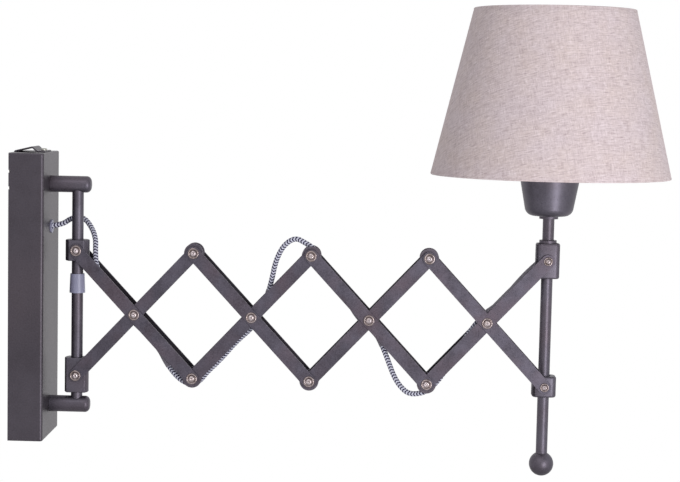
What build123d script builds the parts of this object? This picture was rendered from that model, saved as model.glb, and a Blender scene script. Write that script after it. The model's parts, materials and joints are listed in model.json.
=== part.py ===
"""Accordion wall lamp: a scissor arm of flat bars on a turning rod, with a drum shade at its end.

Units are millimetres. The origin is the middle of the face that lies on the wall: X points away
from the wall along the arm, Z points up, and the side with the screw heads looks towards -Y.
"""
import os
from math import acos, cos, radians, sin, tan

from build123d import *

os.makedirs("parts", exist_ok=True)

# ---------------------------------------------------------------- fits
RUNNING = 0.1  # face gap beside a moving piece, and its radial play on a pivot screw
SLIDING = 0.05  # radial play of a rod in its bore
CABLE_PLAY = 0.1  # radial play of the cable in a bush

# ---------------------------------------------------------------- scissor arm
LINK_LENGTH = 180.0  # between the end pivots of one bar
LINK_ANGLE = radians(47.0)  # slope of the bars as the lamp is shown
LINK_WIDTH = 14.0
LINK_SHEET = 1.8
CELLS = 4
INNER_GAP = 16.0  # free width between the front and the rear half of the arm
LOWER_PIVOT_Z = -84.5

# ---------------------------------------------------------------- pivot hardware
SCREW_R = 2.0
HEAD_R = 3.4
HEAD_HEIGHT = 2.2
HEAD_CHAMFER = 1.1
WASHER_R = 5.5
WASHER_SHEET = 0.8
NUT_ACROSS_FLATS = 7.0
NUT_HEIGHT = 3.2
SPOOL_DISC_R = 10.0
SPOOL_DISC_SHEET = 1.5
SPOOL_HUB_R = 3.5
SPACER_R = 3.2

# ---------------------------------------------------------------- rods and collars
ROD_X = 64.0
ROD_R = 6.0
ROD_SEAT = 4.0  # how far the rod goes past the middle of each peg
COLLAR_R = 12.5
TALL_COLLAR = 37.0
SHORT_COLLAR = 22.0
COLLAR_ROUND = 1.2
SCREW_BITE = 3.0  # how far a collar screw reaches into the solid rod
SHORT_BITE = 3.6  # how far a collar screw reaches into a sliding collar
SLEEVE_BOTTOM_Z = 2.3
SLEEVE_HEIGHT = 20.0
SLEEVE_LOW_R = 8.2
SLEEVE_TOP_R = 7.4
TUBE_WALL = 1.5
TUBE_BOTTOM_Z = -162.0
TUBE_TOP_Z = 106.0
CABLE_HOLE_R = 3.6
BALL_R = 12.75
BALL_Z = -167.0
LOCK_RING_R = 9.0
LOCK_RING_HEIGHT = 3.0
CUP_RING_R = 9.8
CUP_NUT_ACROSS_FLATS = 19.0
CUP_NUT_HEIGHT = 4.0

# ---------------------------------------------------------------- wall box
BOX_WIDTH = 84.0
BOX_HEIGHT = 298.0
BOX_DEPTH = 36.0
BOX_SHEET = 1.2
BOX_SIDE_ROUND = 3.0
BOX_FRONT_ROUND = 1.5
PEG_INSET = 33.0  # from each end of the box to the middle of its peg
PEG_R = 8.6
PEG_TIP_X = 78.0
PEG_ROUND = 5.0
STUD_R = 3.0
PEG_NUT_ACROSS_FLATS = 10.0
PEG_NUT_HEIGHT = 5.0
STUD_TAIL = 2.0
BUSH_Z = 71.5
BUSH_NECK_R = 5.0
BUSH_FLANGE_R = 7.0
BUSH_FLANGE = 1.5
BUSH_LIP_R = 6.0
BUSH_LIP = 2.0
BUSH_MOUTH_ROUND = 1.2
BRACKET_WIDTH = 40.0
BRACKET_SHEET = 1.5
BRACKET_BEND = 1.6
TONGUE_HALF = 17.0
TONGUE_START_Z = 140.0
TONGUE_RIDGE_X = 19.0
TONGUE_RIDGE_RISE = 5.3  # of the sheet's middle over the top of the box
TONGUE_SEAT_X = 24.0
TONGUE_END_X = 32.0
FOOT_REACH = 24.0
FOOT_SCREW_X = 15.0
TOP_SCREW_X = 28.0
COVER_SCREW_LENGTH = 7.0
WALL_SLOT_Z = 100.0
WALL_SLOT_LENGTH = 15.0
WALL_SLOT_WIDTH = 5.0
ENTRY_HOLE_R = 11.0
ENTRY_HOLE_Z = 25.0
NOTCH_DEPTH = 3.0
SIDE_NOTCHES_Z = (130.0, 113.0)
SIDE_NOTCH_HEIGHT = 3.0
SIDE_NOTCH_DEPTH = 1.8
BLOCK_WIDTH = 26.0
BLOCK_HEIGHT = 24.0
BLOCK_DEPTH = 14.0
BLOCK_CHEEK_DEPTH = 10.0
BLOCK_CHEEK_WIDTH = 6.0
GRIP_R = 5.0
TERMINAL_R = 1.9
TERMINAL_SCREW_R = 2.2
TERMINAL_PITCH = 12.0

# ---------------------------------------------------------------- lampholder and shade
CUP_BOTTOM_Z = 94.0
CUP_PROFILE = ((16.0, 94.0), (25.0, 101.0), (30.2, 129.0), (33.8, 150.0))
CUP_WALL = 1.5
HOLDER_R = 20.0
HOLDER_BOTTOM_Z = 101.0
HOLDER_TOP_Z = 160.0
HOLDER_FLANGE_R = 23.0
HOLDER_FLANGE = 2.8
SOCKET_R = 13.4
SOCKET_SHEET = 0.8
SOCKET_BOTTOM_Z = 128.0
SOCKET_TOP_Z = 152.0
CONTACT_R = 4.0
CONTACT_HEIGHT = 2.0
HOLDER_CABLE_TOP_Z = 112.0
FITTER_Z = 150.3
FITTER_SHEET = 1.6
FITTER_R = 27.5
CLAMP_RING_R = 24.0
CLAMP_RING_HEIGHT = 5.0
SHADE_LOW_R = 124.0
SHADE_TOP_R = 83.0
SHADE_LOW_Z = 135.0
SHADE_TOP_Z = 307.0
SHADE_SHEET = 1.0
WIRE_R = 1.5
FRAME_ARMS = 3
ARM_KNEE_R = 40.0
ARM_KNEE_ROUND = 8.0

# ---------------------------------------------------------------- cable
CABLE_R = 2.75
CABLE_REACH = 0.45  # share of the shorter run that a bend takes up
# The cable's corners, piece by piece from the terminal block to the upper right collar. A piece
# ends in the middle of the run between its last corner and the next piece's first one.
CABLE_START = (24.0, 0.0, 71.5)
CABLE_CORNERS = {
    "cable_wall_loop": [(45.0, 0.0, 71.5), (56.5, 15.0, 80.8)],
    "cable_entry": [
        (68.0, 18.5, 79.4), (76.3, 15.0, 69.5), (81.6, 8.5, 58.5), (82.2, 3.0, 46.0),
        (83.4, 0.0, 33.0), (88.2, 0.0, 19.5), (97.0, 0.0, 7.0), (107.0, 0.0, -7.1),
    ],
    "cable_span_1": [
        (120.6, 0.0, -24.5), (137.2, 0.0, -40.5), (150.3, 0.0, -55.6), (159.2, 0.0, -70.5),
        (166.4, 0.0, -81.4), (175.0, 0.0, -91.4), (185.2, 0.0, -94.6), (195.5, 0.0, -91.8),
        (205.5, 0.0, -81.4), (219.8, 0.0, -67.5), (236.5, 0.0, -48.8),
    ],
    "cable_span_2": [
        (249.1, 0.0, -30.5), (259.2, 0.0, -11.2), (266.1, 0.0, 7.0), (267.3, 0.0, 24.5),
        (271.6, 0.0, 43.5), (280.8, 0.0, 60.3), (292.5, 0.0, 70.0), (305.5, 0.0, 69.6),
        (316.5, 0.0, 57.5), (331.5, 0.0, 33.5), (341.8, 0.0, 15.7),
    ],
    "cable_span_3": [
        (350.1, 0.0, -2.5), (361.2, 0.0, -19.5), (376.1, 0.0, -33.0), (384.0, 0.0, -47.0),
        (390.5, 0.0, -61.5), (395.0, 0.0, -77.0), (401.0, 0.0, -90.8), (411.5, 0.0, -99.8),
        (424.5, 0.0, -99.4), (437.5, 0.0, -90.8), (448.5, 0.0, -77.0), (458.9, 0.0, -60.1),
        (468.9, 0.0, -42.0),
    ],
    "cable_to_post": [
        (479.4, 0.0, -24.6), (491.8, 0.0, -9.6), (502.0, 0.0, -2.6), (513.0, 0.0, 8.2),
        (525.0, 0.0, 23.5), (538.0, 0.0, 38.0), (555.04, 0.0, 53.0),
    ],
}
CABLE_END = (555.04, 0.0, 67.0)

# ---------------------------------------------------------------- worked out from the sizes above
FRONT = -1
REAR = 1
cell = LINK_LENGTH * cos(LINK_ANGLE)
pivot_x = [ROD_X + k * cell for k in range(CELLS + 1)]
post_x = pivot_x[CELLS]
upper_pivot_z = LOWER_PIVOT_Z + LINK_LENGTH * sin(LINK_ANGLE)
middle_pivot_z = (LOWER_PIVOT_Z + upper_pivot_z) / 2

tall_flat = INNER_GAP / 2
inner_bar_y = tall_flat + RUNNING
outer_bar_y = inner_bar_y + LINK_SHEET + RUNNING
short_flat = outer_bar_y - RUNNING
arm_face_y = outer_bar_y + LINK_SHEET
pivot_hole_r = SCREW_R + RUNNING
snug_hole_r = SCREW_R + SLIDING

tube_bore_r = ROD_R - TUBE_WALL
rod_bore_r = ROD_R + SLIDING
box_top_z = BOX_HEIGHT / 2
peg_z = box_top_z - PEG_INSET
rod_half_length = peg_z + ROD_SEAT
post_axis = Axis((post_x, 0, 0), (0, 0, 1))
rod_axis = Axis((ROD_X, 0, 0), (0, 0, 1))
post_profile = Plane(origin=(post_x, 0, 0), x_dir=(1, 0, 0), z_dir=(0, -1, 0))
rod_profile = Plane(origin=(ROD_X, 0, 0), x_dir=(1, 0, 0), z_dir=(0, -1, 0))


def facing(x, z, side, y, slope=0.0):
    """A plane beside the arm, y from its middle and facing away from it, with x along the slope."""
    return Plane(origin=(x, side * y, z), x_dir=(cos(slope), 0, sin(slope)), z_dir=(0, side, 0))


def level(z, x=0.0):
    """A level plane at height z, centred over the point x in front of the wall."""
    return Plane(origin=(x, 0, z))


def save(piece, name):
    """Name one finished solid and write it."""
    piece.part.label = name
    export_step(piece.part, f"parts/{name}.step")


def save_group(pieces, name):
    """Write several loose solids as one named group."""
    export_step(Compound(label=name, children=[piece.part for piece in pieces]), f"parts/{name}.step")


# ================================================================ wall box
bracket_foot_z = -box_top_z + BOX_SHEET + BRACKET_SHEET / 2
tongue_seat_z = box_top_z + RUNNING + BRACKET_SHEET / 2
tongue_top_z = tongue_seat_z + BRACKET_SHEET / 2

with BuildPart() as wall_bracket:
    with BuildSketch(Plane.XZ):
        with BuildLine():
            FilletPolyline(
                (FOOT_REACH, bracket_foot_z),
                (BRACKET_SHEET / 2, bracket_foot_z),
                (BRACKET_SHEET / 2, tongue_seat_z),
                (TONGUE_RIDGE_X, box_top_z + TONGUE_RIDGE_RISE),
                (TONGUE_SEAT_X, tongue_seat_z),
                (TONGUE_END_X, tongue_seat_z),
                radius=BRACKET_BEND,
            )
        trace(line_width=BRACKET_SHEET)
    extrude(amount=BRACKET_WIDTH / 2, both=True)
    with BuildSketch(Plane.YZ.offset(-BRACKET_SHEET)):
        with Locations((0, TONGUE_START_Z + BRACKET_WIDTH / 2)):
            Rectangle(2 * BRACKET_WIDTH, BRACKET_WIDTH)
            Rectangle(2 * TONGUE_HALF, BRACKET_WIDTH, mode=Mode.SUBTRACT)
    extrude(amount=TONGUE_END_X + 2 * BRACKET_SHEET, mode=Mode.SUBTRACT)
    with BuildSketch(Plane.YZ):
        with Locations((0, WALL_SLOT_Z), (0, -WALL_SLOT_Z)):
            SlotOverall(WALL_SLOT_LENGTH, WALL_SLOT_WIDTH, rotation=90)
        with Locations((0, ENTRY_HOLE_Z)):
            Circle(ENTRY_HOLE_R)
    extrude(amount=BRACKET_SHEET, mode=Mode.SUBTRACT)
    with BuildSketch(level(tongue_seat_z - BRACKET_SHEET, TOP_SCREW_X)):
        Circle(pivot_hole_r)
    extrude(amount=2 * BRACKET_SHEET, mode=Mode.SUBTRACT)
    with BuildSketch(level(bracket_foot_z - BRACKET_SHEET, FOOT_SCREW_X)):
        Circle(snug_hole_r)
    extrude(amount=2 * BRACKET_SHEET, mode=Mode.SUBTRACT)
save(wall_bracket, "wall_bracket")

with BuildPart() as box_inside:
    with BuildSketch(Plane.YZ):
        Rectangle(BOX_WIDTH - 2 * BOX_SHEET, BOX_HEIGHT - 2 * BOX_SHEET)
    extrude(amount=BOX_DEPTH - BOX_SHEET)
    inner_face = box_inside.faces().sort_by(Axis.X)[-1]
    fillet(inner_face.edges().filter_by(Axis.Z), BOX_SIDE_ROUND - BOX_SHEET)

with BuildPart() as wall_cover:
    with BuildSketch(Plane.YZ):
        Rectangle(BOX_WIDTH, BOX_HEIGHT)
    extrude(amount=BOX_DEPTH)
    front_face = wall_cover.faces().sort_by(Axis.X)[-1]
    fillet(front_face.edges().filter_by(Axis.Z), BOX_SIDE_ROUND)
    front_face = wall_cover.faces().sort_by(Axis.X)[-1]
    fillet(front_face.edges().filter_by(Axis.Y), BOX_FRONT_ROUND)
    add(box_inside.part, mode=Mode.SUBTRACT)
    with BuildSketch(level(box_top_z - 2 * BOX_SHEET, NOTCH_DEPTH / 2)):
        Rectangle(NOTCH_DEPTH, 2 * (TONGUE_HALF + RUNNING))
    extrude(amount=4 * BOX_SHEET, mode=Mode.SUBTRACT)
    with BuildSketch(Plane.XZ):
        with Locations(*[(SIDE_NOTCH_DEPTH / 2, z) for z in SIDE_NOTCHES_Z]):
            Rectangle(SIDE_NOTCH_DEPTH, SIDE_NOTCH_HEIGHT)
    extrude(amount=BOX_WIDTH, both=True, mode=Mode.SUBTRACT)
    with BuildSketch(Plane.YZ.offset(BOX_DEPTH)):
        with Locations((0, peg_z), (0, -peg_z)):
            Circle(STUD_R + SLIDING)
        with Locations((0, BUSH_Z)):
            Circle(BUSH_NECK_R + SLIDING)
    extrude(amount=-2 * BOX_SHEET, mode=Mode.SUBTRACT)
    with BuildSketch(level(box_top_z, TOP_SCREW_X)):
        Circle(pivot_hole_r)
    extrude(amount=-2 * BOX_SHEET, mode=Mode.SUBTRACT)
    with BuildSketch(level(-box_top_z, FOOT_SCREW_X)):
        Circle(pivot_hole_r)
    extrude(amount=2 * BOX_SHEET, mode=Mode.SUBTRACT)
save(wall_cover, "wall_cover")


def cover_screw(x, head_z, up):
    """A screw that enters the box from above (up = 1) or from below (up = -1)."""
    with BuildPart() as screw:
        with BuildSketch(Plane(origin=(x, 0, head_z), z_dir=(0, 0, up))):
            Circle(HEAD_R)
        extrude(amount=HEAD_HEIGHT)
        chamfer(screw.faces().sort_by(Axis.Z)[-1 if up > 0 else 0].edges(), HEAD_CHAMFER)
        with BuildSketch(Plane(origin=(x, 0, head_z), z_dir=(0, 0, -up))):
            Circle(SCREW_R)
        extrude(amount=COVER_SCREW_LENGTH)
    return screw


def cover_nut(x, top_z):
    """The nut pressed under the roof of the box."""
    with BuildPart() as nut:
        with BuildSketch(level(top_z, x)):
            RegularPolygon(NUT_ACROSS_FLATS / 2, 6, major_radius=False)
            Circle(snug_hole_r, mode=Mode.SUBTRACT)
        extrude(amount=-NUT_HEIGHT)
    return nut


save_group(
    [
        cover_screw(TOP_SCREW_X, tongue_top_z, 1),
        cover_screw(FOOT_SCREW_X, -box_top_z, -1),
        cover_nut(TOP_SCREW_X, box_top_z - BOX_SHEET),
    ],
    "cover_screws",
)

grip_x = CABLE_START[0]
with BuildPart() as terminal_block:
    with BuildSketch(Plane.YZ.offset(BRACKET_SHEET)):
        with Locations((0, BUSH_Z)):
            Rectangle(BLOCK_WIDTH, BLOCK_HEIGHT)
    extrude(amount=BLOCK_DEPTH)
    with BuildSketch(Plane.YZ.offset(BRACKET_SHEET + BLOCK_CHEEK_DEPTH)):
        for side in (FRONT, REAR):
            with Locations((side * (BLOCK_WIDTH - BLOCK_CHEEK_WIDTH) / 2, BUSH_Z)):
                Rectangle(BLOCK_CHEEK_WIDTH, BLOCK_HEIGHT)
    extrude(amount=BLOCK_DEPTH, mode=Mode.SUBTRACT)
    with BuildSketch(Plane.YZ.offset(BRACKET_SHEET + BLOCK_DEPTH)):
        with Locations((0, BUSH_Z)):
            Circle(GRIP_R)
    extrude(amount=grip_x - BRACKET_SHEET - BLOCK_DEPTH)
    with BuildSketch(level(BUSH_Z - BLOCK_HEIGHT / 2, BRACKET_SHEET + BLOCK_CHEEK_DEPTH / 2)):
        for side in (FRONT, REAR):
            with Locations((0, side * TERMINAL_PITCH / 2)):
                Circle(TERMINAL_R)
    extrude(amount=BLOCK_HEIGHT, mode=Mode.SUBTRACT)
save(terminal_block, "terminal_block")

bush_inner_x = BOX_DEPTH - BOX_SHEET
with BuildPart() as cable_bush:
    with BuildSketch(Plane.YZ.offset(bush_inner_x - BUSH_LIP)):
        with Locations((0, BUSH_Z)):
            Circle(BUSH_LIP_R)
    extrude(amount=BUSH_LIP)
    with BuildSketch(Plane.YZ.offset(bush_inner_x)):
        with Locations((0, BUSH_Z)):
            Circle(BUSH_NECK_R)
    extrude(amount=BOX_SHEET)
    with BuildSketch(Plane.YZ.offset(BOX_DEPTH)):
        with Locations((0, BUSH_Z)):
            Circle(BUSH_FLANGE_R)
    extrude(amount=BUSH_FLANGE)
    with BuildSketch(Plane.YZ.offset(bush_inner_x - BUSH_LIP)):
        with Locations((0, BUSH_Z)):
            Circle(CABLE_R + CABLE_PLAY)
    extrude(amount=BOX_DEPTH, mode=Mode.SUBTRACT)
    fillet(cable_bush.faces().sort_by(Axis.X)[-1].edges().sort_by(SortBy.RADIUS)[0], BUSH_MOUTH_ROUND)
save(cable_bush, "cable_bush")


def peg(up):
    """The peg that holds one end of the rod: up = 1 above, up = -1 below."""
    with BuildPart() as arm:
        with BuildSketch(Plane.YZ.offset(BOX_DEPTH)):
            with Locations((0, up * peg_z)):
                Circle(PEG_R)
        extrude(amount=PEG_TIP_X - BOX_DEPTH)
        fillet(arm.faces().sort_by(Axis.X)[-1].edges(), PEG_ROUND)
        with BuildSketch(Plane.YZ.offset(BOX_DEPTH)):
            with Locations((0, up * peg_z)):
                Circle(STUD_R)
        extrude(amount=-(BOX_SHEET + PEG_NUT_HEIGHT + STUD_TAIL))
        with BuildSketch(Plane(origin=(ROD_X, 0, up * (rod_half_length + RUNNING)), z_dir=(0, 0, -up))):
            Circle(rod_bore_r)
        extrude(amount=2 * PEG_R, mode=Mode.SUBTRACT)
    return arm


def peg_nut(up):
    """The nut that holds a peg from inside the box."""
    with BuildPart() as nut:
        with BuildSketch(Plane.YZ.offset(bush_inner_x)):
            with Locations((0, up * peg_z)):
                RegularPolygon(PEG_NUT_ACROSS_FLATS / 2, 6, major_radius=False)
                Circle(STUD_R + SLIDING, mode=Mode.SUBTRACT)
        extrude(amount=-PEG_NUT_HEIGHT)
    return nut


save(peg(1), "upper_peg")
save(peg(-1), "lower_peg")
save_group([peg_nut(1), peg_nut(-1)], "peg_nuts")


# ================================================================ pivot hardware
def washer(x, z, side, y):
    """A washer whose inner face lies y from the middle of the arm."""
    with BuildPart() as disc:
        with BuildSketch(facing(x, z, side, y)):
            Circle(WASHER_R)
            Circle(snug_hole_r, mode=Mode.SUBTRACT)
        extrude(amount=WASHER_SHEET)
    return disc


def pivot_screw(x, z, side, head_y, tip_y):
    """A domed screw with its head seated at head_y and its tip at tip_y (negative = other side)."""
    with BuildPart() as screw:
        with BuildSketch(facing(x, z, side, head_y)):
            Circle(HEAD_R)
        extrude(amount=HEAD_HEIGHT)
        chamfer(screw.faces().sort_by(Axis.Y)[0 if side == FRONT else -1].edges(), HEAD_CHAMFER)
        with BuildSketch(facing(x, z, side, tip_y)):
            Circle(SCREW_R)
        extrude(amount=head_y - tip_y)
    return screw


def pivot_nut(x, z, side, y):
    """The hexagon nut on the far end of a pivot screw."""
    with BuildPart() as nut:
        with BuildSketch(facing(x, z, side, y)):
            RegularPolygon(NUT_ACROSS_FLATS / 2, 6, major_radius=False)
            Circle(snug_hole_r, mode=Mode.SUBTRACT)
        extrude(amount=NUT_HEIGHT)
    return nut


def through_pivot(x, z):
    """Screw, washer and nut of a pivot between two links."""
    return [
        pivot_screw(x, z, FRONT, arm_face_y + WASHER_SHEET, -(arm_face_y + NUT_HEIGHT)),
        washer(x, z, FRONT, arm_face_y),
        pivot_nut(x, z, REAR, arm_face_y),
    ]


def collar_pivot(x, z, bar_face_y, tip_y):
    """The pair of short screws and washers that hold two bars to a collar."""
    washer_y = bar_face_y + RUNNING
    pieces = []
    for side in (FRONT, REAR):
        pieces.append(pivot_screw(x, z, side, washer_y + WASHER_SHEET, tip_y))
        pieces.append(washer(x, z, side, washer_y))
    return pieces


def spool(x, z):
    """The turned spool that keeps the bars apart at an end pivot and guides the cable."""
    profile = Plane(origin=(x, 0, z), x_dir=(1, 0, 0), z_dir=(0, 0, 1))
    disc_y = tall_flat - SPOOL_DISC_SHEET
    with BuildPart() as turned:
        with BuildSketch(profile):
            with BuildLine():
                Polyline(
                    (snug_hole_r, -tall_flat),
                    (SPOOL_DISC_R, -tall_flat),
                    (SPOOL_DISC_R, -disc_y),
                    (SPOOL_HUB_R, -disc_y),
                    (SPOOL_HUB_R, disc_y),
                    (SPOOL_DISC_R, disc_y),
                    (SPOOL_DISC_R, tall_flat),
                    (snug_hole_r, tall_flat),
                    close=True,
                )
            make_face()
        revolve(axis=Axis((x, 0, z), (0, 1, 0)))
    return turned


def spacer(x, z):
    """The plain tube that keeps the bars apart at a middle pivot."""
    with BuildPart() as tube:
        with BuildSketch(facing(x, z, REAR, -tall_flat)):
            Circle(SPACER_R)
            Circle(snug_hole_r, mode=Mode.SUBTRACT)
        extrude(amount=INNER_GAP)
    return tube


# ================================================================ links
def link_bar(x, slope, side, y):
    """One flat bar, centred over x, with rounded ends and three pivot holes."""
    with BuildPart() as bar:
        with BuildSketch(facing(x, middle_pivot_z, side, y, slope)):
            SlotCenterToCenter(LINK_LENGTH, LINK_WIDTH)
            with GridLocations(LINK_LENGTH / 2, 0, 3, 1):
                Circle(pivot_hole_r, mode=Mode.SUBTRACT)
        extrude(amount=LINK_SHEET)
    return bar


for number in range(1, CELLS + 1):
    left_x = pivot_x[number - 1]
    right_x = pivot_x[number]
    centre_x = (left_x + right_x) / 2
    for side, side_name in ((FRONT, "front"), (REAR, "rear")):
        save(link_bar(centre_x, LINK_ANGLE, side, inner_bar_y), f"rising_link_{number}_{side_name}")
        save(link_bar(centre_x, -LINK_ANGLE, side, outer_bar_y), f"falling_link_{number}_{side_name}")
    # The hardware of a pivot rides with the falling link, whose bars are the outer ones.
    pivots = through_pivot(centre_x, middle_pivot_z)
    spools = [spacer(centre_x, middle_pivot_z)]
    if number > 1:
        pivots += through_pivot(left_x, upper_pivot_z)
        spools.append(spool(left_x, upper_pivot_z))
    if number < CELLS:
        pivots += through_pivot(right_x, LOWER_PIVOT_Z)
        spools.append(spool(right_x, LOWER_PIVOT_Z))
    save_group(pivots, f"falling_link_{number}_pivots")
    save_group(spools, f"falling_link_{number}_spools")


# ================================================================ rods and collars
def collar(x, z, height, flat, bore_r, screw_tip_y):
    """A collar on a vertical rod, flattened where its bars lie."""
    with BuildPart() as ring:
        with BuildSketch(level(z - height / 2, x)):
            Circle(COLLAR_R)
            Rectangle(2 * COLLAR_R, 2 * flat, mode=Mode.INTERSECT)
        extrude(amount=height)
        fillet(ring.edges().group_by(Axis.Z)[0] + ring.edges().group_by(Axis.Z)[-1], COLLAR_ROUND)
        with BuildSketch(level(z - height / 2, x)):
            Circle(bore_r)
        extrude(amount=height, mode=Mode.SUBTRACT)
        for side in (FRONT, REAR):
            with BuildSketch(facing(x, z, side, screw_tip_y)):
                Circle(snug_hole_r)
            extrude(amount=COLLAR_R, mode=Mode.SUBTRACT)
    return ring


rising_face_y = inner_bar_y + LINK_SHEET
slide_tip_y = short_flat - SHORT_BITE
rod_tip_y = ROD_R - SCREW_BITE
tube_tip_y = tube_bore_r + SLIDING

with BuildPart() as pivot_rod:
    with BuildSketch(level(-rod_half_length, ROD_X)):
        Circle(ROD_R)
    extrude(amount=2 * rod_half_length)
    for side in (FRONT, REAR):
        with BuildSketch(facing(ROD_X, LOWER_PIVOT_Z, side, rod_tip_y)):
            Circle(snug_hole_r)
        extrude(amount=SCREW_BITE, mode=Mode.SUBTRACT)
save(pivot_rod, "pivot_rod")

with BuildPart() as stop_sleeve:
    with BuildSketch(rod_profile):
        with BuildLine():
            Polyline(
                (rod_bore_r, SLEEVE_BOTTOM_Z),
                (SLEEVE_LOW_R, SLEEVE_BOTTOM_Z),
                (SLEEVE_TOP_R, SLEEVE_BOTTOM_Z + SLEEVE_HEIGHT),
                (rod_bore_r, SLEEVE_BOTTOM_Z + SLEEVE_HEIGHT),
                close=True,
            )
        make_face()
    revolve(axis=rod_axis)
save(stop_sleeve, "stop_sleeve")

save(collar(ROD_X, LOWER_PIVOT_Z, TALL_COLLAR, tall_flat, rod_bore_r, rod_tip_y), "lower_left_collar")
save_group(collar_pivot(ROD_X, LOWER_PIVOT_Z, rising_face_y, rod_tip_y), "lower_left_pivot_screws")
save(collar(ROD_X, upper_pivot_z, SHORT_COLLAR, short_flat, rod_bore_r, slide_tip_y), "upper_left_collar")
save_group(collar_pivot(ROD_X, upper_pivot_z, arm_face_y, slide_tip_y), "upper_left_pivot_screws")
save(collar(post_x, LOWER_PIVOT_Z, SHORT_COLLAR, short_flat, rod_bore_r, slide_tip_y), "lower_right_collar")
save_group(collar_pivot(post_x, LOWER_PIVOT_Z, arm_face_y, slide_tip_y), "lower_right_pivot_screws")
save_group(collar_pivot(post_x, upper_pivot_z, rising_face_y, tube_tip_y), "upper_right_pivot_screws")

# The cable enters the post through a slanting hole that follows the cable's last long run.
hole_foot, hole_end = CABLE_CORNERS["cable_to_post"][-2:]
hole_plane = Plane(
    origin=hole_end,
    z_dir=(hole_foot[0] - hole_end[0], hole_foot[1] - hole_end[1], hole_foot[2] - hole_end[2]),
)

with BuildPart() as post_tube:
    with BuildSketch(level(TUBE_BOTTOM_Z, post_x)):
        Circle(ROD_R)
        Circle(tube_bore_r, mode=Mode.SUBTRACT)
    extrude(amount=TUBE_TOP_Z - TUBE_BOTTOM_Z)
    for side in (FRONT, REAR):
        with BuildSketch(facing(post_x, upper_pivot_z, side, 0)):
            Circle(snug_hole_r)
        extrude(amount=ROD_R, mode=Mode.SUBTRACT)
    with BuildSketch(hole_plane):
        Circle(CABLE_HOLE_R)
    extrude(amount=2 * COLLAR_R, mode=Mode.SUBTRACT)
save(post_tube, "post_tube")

with BuildPart() as upper_right_collar:
    add(collar(post_x, upper_pivot_z, TALL_COLLAR, tall_flat, rod_bore_r, 0).part)
    with BuildSketch(hole_plane):
        Circle(CABLE_HOLE_R)
    extrude(amount=2 * COLLAR_R, mode=Mode.SUBTRACT)
save(upper_right_collar, "upper_right_collar")


def ring_on_post(bottom_z, outer_r, height):
    """A round lock ring on the post."""
    with BuildPart() as ring:
        with BuildSketch(level(bottom_z, post_x)):
            Circle(outer_r)
            Circle(rod_bore_r, mode=Mode.SUBTRACT)
        extrude(amount=height)
    return ring


def cup_nut():
    """The nut on the post inside the cup."""
    with BuildPart() as nut:
        with BuildSketch(level(CUP_BOTTOM_Z + CUP_WALL, post_x)):
            RegularPolygon(CUP_NUT_ACROSS_FLATS / 2, 6, major_radius=False)
            Circle(rod_bore_r, mode=Mode.SUBTRACT)
        extrude(amount=CUP_NUT_HEIGHT)
    return nut


save_group(
    [
        ring_on_post(upper_pivot_z + TALL_COLLAR / 2, LOCK_RING_R, LOCK_RING_HEIGHT),
        ring_on_post(CUP_BOTTOM_Z - LOCK_RING_HEIGHT, CUP_RING_R, LOCK_RING_HEIGHT),
        cup_nut(),
    ],
    "post_lock_rings",
)

with BuildPart() as ball_finial:
    with Locations((post_x, 0, BALL_Z)):
        Sphere(BALL_R)
    with BuildSketch(level(TUBE_BOTTOM_Z, post_x)):
        Circle(rod_bore_r)
    extrude(amount=BALL_R * 2, mode=Mode.SUBTRACT)
save(ball_finial, "ball_finial")

# ================================================================ lampholder
with BuildPart() as holder_cup:
    with BuildSketch(post_profile):
        with BuildLine():
            Line((0, CUP_BOTTOM_Z), CUP_PROFILE[0])
            TangentArc(CUP_PROFILE[0], CUP_PROFILE[1], tangent=(1, 0))
            Polyline(*CUP_PROFILE[1:], (0, CUP_PROFILE[-1][1]), (0, CUP_BOTTOM_Z))
        make_face()
    revolve(axis=post_axis)
    offset(amount=-CUP_WALL, openings=holder_cup.faces().sort_by(Axis.Z)[-1])
    with BuildSketch(level(CUP_BOTTOM_Z, post_x)):
        Circle(rod_bore_r)
    extrude(amount=2 * CUP_WALL, mode=Mode.SUBTRACT)
save(holder_cup, "holder_cup")

socket_outer_r = SOCKET_R + SOCKET_SHEET
flange_top_z = FITTER_Z - RUNNING
with BuildPart() as lampholder_body:
    with BuildSketch(level(HOLDER_BOTTOM_Z, post_x)):
        Circle(HOLDER_R)
    extrude(amount=HOLDER_TOP_Z - HOLDER_BOTTOM_Z)
    with BuildSketch(level(flange_top_z - HOLDER_FLANGE, post_x)):
        Circle(HOLDER_FLANGE_R)
    extrude(amount=HOLDER_FLANGE)
    with BuildSketch(level(SOCKET_BOTTOM_Z - CONTACT_HEIGHT, post_x)):
        Circle(socket_outer_r + SLIDING)
    extrude(amount=HOLDER_TOP_Z, mode=Mode.SUBTRACT)
    with BuildSketch(level(HOLDER_BOTTOM_Z, post_x)):
        Circle(rod_bore_r)
    extrude(amount=TUBE_TOP_Z - HOLDER_BOTTOM_Z, mode=Mode.SUBTRACT)
    with BuildSketch(level(TUBE_TOP_Z, post_x)):
        Circle(CABLE_R + CABLE_PLAY)
    extrude(amount=HOLDER_CABLE_TOP_Z - TUBE_TOP_Z, mode=Mode.SUBTRACT)
save(lampholder_body, "lampholder_body")


def socket_shell():
    """The threaded metal sleeve of the lampholder, drawn plain."""
    with BuildPart() as shell:
        with BuildSketch(level(SOCKET_BOTTOM_Z, post_x)):
            Circle(socket_outer_r)
            Circle(SOCKET_R, mode=Mode.SUBTRACT)
        extrude(amount=SOCKET_TOP_Z - SOCKET_BOTTOM_Z)
    return shell


def centre_contact():
    """The middle contact on the floor of the lampholder."""
    with BuildPart() as contact:
        with BuildSketch(level(SOCKET_BOTTOM_Z - CONTACT_HEIGHT, post_x)):
            Circle(CONTACT_R)
        extrude(amount=CONTACT_HEIGHT)
    return contact


save_group([socket_shell(), centre_contact()], "lampholder_contacts")

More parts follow.
